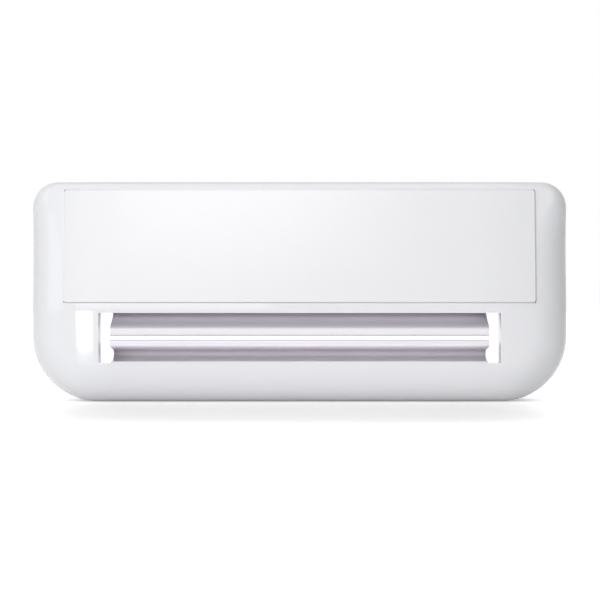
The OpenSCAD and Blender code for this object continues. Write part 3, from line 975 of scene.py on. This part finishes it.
def threaded_shank():
    """A shank from its tip up to y = 0, where the head begins."""
    select_none()
    bpy.ops.mesh.primitive_grid_add(
        x_subdivisions=ROUND_STEPS, y_subdivisions=LONG_STEPS, size=1
    )
    piece = bpy.context.object
    for vertex in piece.data.vertices:
        turn = vertex.co.x + 0.5
        along = (vertex.co.y + 0.5) * SHANK_L
        phase = (along / PITCH + turn) % 1
        ridge = max(0, 1 - abs(phase - 0.5) * RIDGE_STEEPNESS)
        radius = (CORE_R + (THREAD_R - CORE_R) * ridge) * min(1, TIP_SHARE + along / TAPER_L)
        angle = turn * 2 * math.pi
        place = (radius * math.cos(angle), along - SHANK_L, radius * math.sin(angle))
        vertex.co = Vector(place) * MM
    pick_all(piece)
    bpy.ops.mesh.remove_doubles(threshold=0.001 * MM)
    bpy.ops.mesh.fill_holes(sides=0)
    bpy.ops.mesh.normals_make_consistent(inside=False)
    done()
    return piece


# %% Screws
HEAD_R, HEAD_H, DOME_R = 2.1, 1.6, 0.75
RECESS_LONG, RECESS_WIDE, RECESS_TAPER = 1.25, 0.28, 0.6
RECESS_FLOOR_Y, RECESS_TOP_Y = 0.7, 2


def first_screw():
    """A screw whose head stands on y = 0, with its recess towards the rear."""
    head = rod("screw", (0, HEAD_H / 2, 0), HEAD_R, HEAD_H, "Y", 48)
    pick_faces(head, faces_rear)
    bpy.ops.mesh.bevel(offset=DOME_R * MM, segments=6, affect="EDGES")
    done()
    arms = []
    for x, z in ((RECESS_LONG, RECESS_WIDE), (RECESS_WIDE, RECESS_LONG)):
        arm = block("recess", (-x, RECESS_FLOOR_Y, -z), (x, RECESS_TOP_Y, z))
        pick_faces(arm, faces_front)
        bpy.ops.transform.resize(value=(RECESS_TAPER, 1, RECESS_TAPER), center_override=(0, 0, 0))
        done()
        arms.append(arm)
    combine(head, arms, "DIFFERENCE")
    soften(head, 0.06, 2)
    combine(head, [threaded_shank()], "UNION")
    return head


screw = first_screw()
for place, (x, z) in SCREWS.items():
    piece = link(f"screw_{place}", screw.data.copy())
    piece.location = Vector((x, HEAD_Y, z)) * MM
    settle(piece)
    polish(piece)
    assemble(piece, "squeezer_body", "screw", zinc, "cover_screws")
bpy.data.objects.remove(screw)

# %% [markdown]
# ## Floor and world
# The photograph has a white ground with a faint soft shadow in front of the object. The floor is
# matt and takes the shadow. The camera and the gloss also see a painted glow on it, an emission
# that no lamp casts. That painted light is weak just before the case, where the shadow shows, and it
# grows until the ground beside and behind the case is white and the shadow there is painted out. The
# world is plain white where it is seen, and a dim room where it lights the object.

# %% Floor
def seen_directly(nodes):
    """1 for rays of the camera and of reflections, 0 for those that light the object."""
    camera_ray, glossy_ray, through_ray = (
        nodes.add("ShaderNodeLightPath", out=ray)
        for ray in ("Is Camera Ray", "Is Glossy Ray", "Is Transmission Ray")
    )
    return camera_ray + glossy_ray + through_ray


FLOOR_METRES, FLOOR_Z = 8, -0.02 * MM
FLOOR_GREY = 0.88
NEAR_PAINTED_GLOW, FAR_PAINTED_GLOW = 0.245, 0.70
SHADE_X, SHADE_Y, SHADE_REACH = 44 * MM, -25 * MM, 95 * MM
select_none()
bpy.ops.mesh.primitive_plane_add(size=FLOOR_METRES, location=(0, 0, FLOOR_Z))
floor = bpy.context.object
floor.name = "floor"

white_floor = bpy.data.materials.new("white_floor")
white_floor.use_nodes = True
white_floor.node_tree.nodes.clear()
nodes = Nodes(white_floor.node_tree)
place = nodes.add("ShaderNodeTexCoord", out="Object")
x, y = (nodes.add("ShaderNodeSeparateXYZ", sockets={0: place}, out=axis) for axis in "XY")
across = x * (1 / SHADE_X)
along = (y - SHADE_Y) * (1 / SHADE_REACH)
# Painted glow: weak just in front of the case and full beside and behind it, where it paints out the
# case's shadow.
painted_glow = nodes.add(
    "ShaderNodeMapRange", {"interpolation_type": "SMOOTHSTEP"},
    {"Value": (across * across) ** 3 + (along * along) ** 2, "To Min": NEAR_PAINTED_GLOW, "To Max": FAR_PAINTED_GLOW},
)
matt = nodes.add("ShaderNodeBsdfDiffuse", sockets={"Color": (FLOOR_GREY, FLOOR_GREY, FLOOR_GREY, 1)})
# The painted glow is an emission that only the camera and the gloss see.
painted_lift = nodes.add("ShaderNodeEmission", sockets={"Color": painted_glow, "Strength": 1})
lifted = nodes.add("ShaderNodeAddShader", sockets={0: matt, 1: painted_lift})
surface = nodes.add("ShaderNodeMixShader", sockets={0: seen_directly(nodes), 1: matt, 2: lifted})
nodes.add("ShaderNodeOutputMaterial", sockets={"Surface": surface})
floor.data.materials.append(white_floor)
print("floor:", len(white_floor.node_tree.nodes), "nodes")

# %% World
ROOM_COLOUR, ROOM_STRENGTH = (0.97, 0.98, 1.0, 1), 0.28

world = bpy.data.worlds.new("white_room")
bpy.context.scene.world = world
world.use_nodes = True
world.node_tree.nodes.clear()
nodes = Nodes(world.node_tree)
room = nodes.add("ShaderNodeBackground", sockets={"Color": ROOM_COLOUR, "Strength": ROOM_STRENGTH})
white = nodes.add("ShaderNodeBackground", sockets={"Color": (1, 1, 1, 1)})
surface = nodes.add("ShaderNodeMixShader", sockets={0: seen_directly(nodes), 1: room, 2: white})
nodes.add("ShaderNodeOutputWorld", sockets={"Surface": surface})
print("world:", len(world.node_tree.nodes), "nodes")

# %% [markdown]
# ## Lamps
# Four broad lights give the case its soft shades, and three softboxes give it shine. The small
# strip lamp is the one whose mirror image stands left of the window.

# %% Lamps
MIDDLE = (0, -5, 16)
WHITE = (1, 1, 1)


def lamp(name, kind, toward, **settings):
    """A lamp that lies in this direction, as seen from what it lights."""
    light = link(name, bpy.data.lights.new(name, kind))
    for key, value in settings.items():
        setattr(light.data, key, value)
    light.rotation_euler = Vector(toward).to_track_quat("Z", "Y").to_euler()
    return light


def broad_light(name, toward, degrees, strength, glossy=True):
    """A very large and distant lamp."""
    light = lamp(name, "SUN", toward, energy=strength, angle=math.radians(degrees))
    light.visible_glossy = glossy


def softbox(name, place, width, height, watts, target=MIDDLE, colour=WHITE):
    """A flat lamp at a place, turned to the target."""
    light = lamp(
        name, "AREA", Vector(place) - Vector(target), shape="RECTANGLE",
        size=width * MM, size_y=height * MM, energy=watts, color=colour,
    )
    light.location = Vector(place) * MM
    return light


broad_light("front_light", (-0.3, -0.95, 0.05), 25, 1.1, glossy=False)
broad_light("left_light", (-0.8, -0.5, 0.33), 40, 0.36)
broad_light("top_light", (-0.1, -0.15, 1), 40, 0.4)
broad_light("back_light", (-0.05, 1, 0.14), 40, 2.0, glossy=False)
softbox("near_lamp", (-12, -160, 95), 60, 60, 0.032)
softbox("left_lamp", (-60, -240, 130), 120, 120, 0.078)
softbox("strip_lamp", (-123, -299, 27), 29, 48, 0.05)
print(len(bpy.data.lights), "lamps outside the case")

# %% [markdown]
# ## Light through the walls
# The real white walls are thin, so some light comes through them and onto the lips. Here the walls
# let none through. Two long, narrow lamps stand in for it, one above the upper lip and one on the
# sill. Neither the camera nor a reflection sees them.

# %% Light through the walls
THROUGH_WALL = (1.0, 0.91, 1.05)
GLOW_X, GLOW_W = -1, 66

for name, (y, z), height, watts, target in (
    ("upper_glow", (-6.3, 16.4), 2.5, 0.00043, (GLOW_X, -6.1, 12)),
    ("lower_glow", (-10.9, 6.75), 1.4, 0.0009, (GLOW_X, -10.1, 10)),
):
    light = softbox(name, (GLOW_X, y, z), GLOW_W, height, watts, target, THROUGH_WALL)
    light.visible_camera = light.visible_glossy = False
print(len(bpy.data.lights), "lamps in all")
